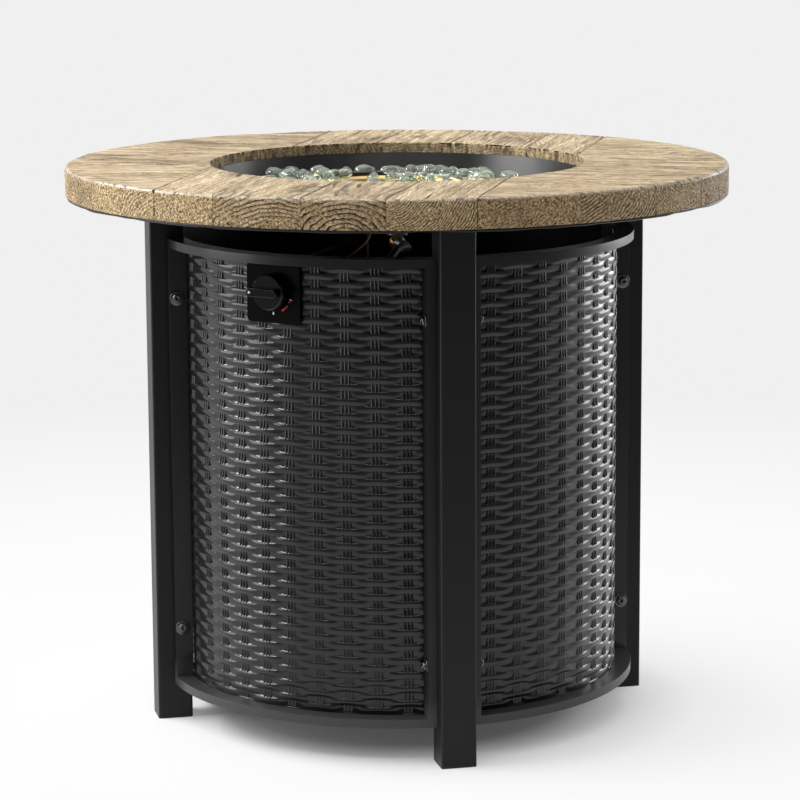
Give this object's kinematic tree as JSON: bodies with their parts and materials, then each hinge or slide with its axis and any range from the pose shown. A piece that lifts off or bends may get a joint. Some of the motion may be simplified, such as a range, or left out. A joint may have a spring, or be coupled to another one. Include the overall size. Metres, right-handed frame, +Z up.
{
  "type": "propane fire table",
  "caption": "Round propane fire table: wood-look top, ring burner in a bowl of glass pebbles, woven-look panels between square legs, push-and-turn gas knob and hinged cylinder door.",
  "frame": {"origin": "on the floor, under the middle of the round top", "axes": "+Z up; -Y is the side with the control knob, +Y the side with the cylinder door"},
  "size_m": [0.762, 0.7618, 0.64],
  "materials": {
    "wood_top": "matt, wood-look casting",
    "black_steel": "satin black powder coat",
    "black_weave": "semi-gloss black, embossed weave",
    "zinc_steel": "bright zinc",
    "brass": "plain brass",
    "fire_glass": "clear tumbled glass",
    "control_panel": "gloss black",
    "black_plastic": "semi-gloss",
    "rubber": "matt",
    "copper_lead": "plain copper",
    "ceramic": "glazed ceramic"
  },
  "bodies": {
    "table": {"table_top": "wood_top", "leg_front_left": "black_steel", "leg_front_right": "black_steel", "leg_back_right": "black_steel", "leg_back_left": "black_steel", "top_plates": "black_steel", "front_frame": "black_steel", "right_frame": "black_steel", "left_frame": "black_steel", "fire_bowl": "black_steel", "burner_dish": "black_steel", "valve_bracket": "black_steel", "tank_tray": "black_steel", "hinge_pins": "black_steel", "front_weave": "black_weave", "right_weave": "black_weave", "left_weave": "black_weave", "panel_screws": "zinc_steel", "panel_washers": "zinc_steel", "top_bolts": "zinc_steel", "bowl_bolts": "zinc_steel", "tray_screws": "zinc_steel", "burner_nut": "zinc_steel", "air_mixer": "zinc_steel", "hose_ferrules": "zinc_steel", "door_magnets": "zinc_steel", "thermocouple": "zinc_steel", "burner_ring": "brass", "inlet_elbow": "brass", "valve_body": "brass", "fire_glass_outer": "fire_glass", "fire_glass_inner": "fire_glass", "control_plate": "control_panel", "foot_caps": "black_plastic", "gas_hose": "rubber", "ignition_lead": "rubber", "thermocouple_lead": "copper_lead", "igniter_electrode": "ceramic"},
    "valve_plug": {"valve_plug": "brass"},
    "knob": {"control_knob": "black_plastic", "valve_stem": "zinc_steel"},
    "door": {"door_frame": "black_steel", "door_weave": "black_weave", "hinge_barrels": "black_steel"}
  },
  "joints": [
    {"name": "knob_turn", "type": "hinge", "parent": "table", "child": "valve_plug", "pos_m": [0, -0.25, 0.5205], "axis": [0, -1, 0], "range_deg": [0, 135]},
    {"name": "knob_push", "type": "slide", "parent": "valve_plug", "child": "knob", "axis": [0, 1, 0], "range_m": [0, 0.004], "stiffness_N_per_m": 1500},
    {"name": "door_swing", "type": "hinge", "parent": "table", "child": "door", "pos_m": [-0.17812, 0.2156, 0.3], "axis": [0, 0, 1], "range_deg": [0, 110]}
  ]
}
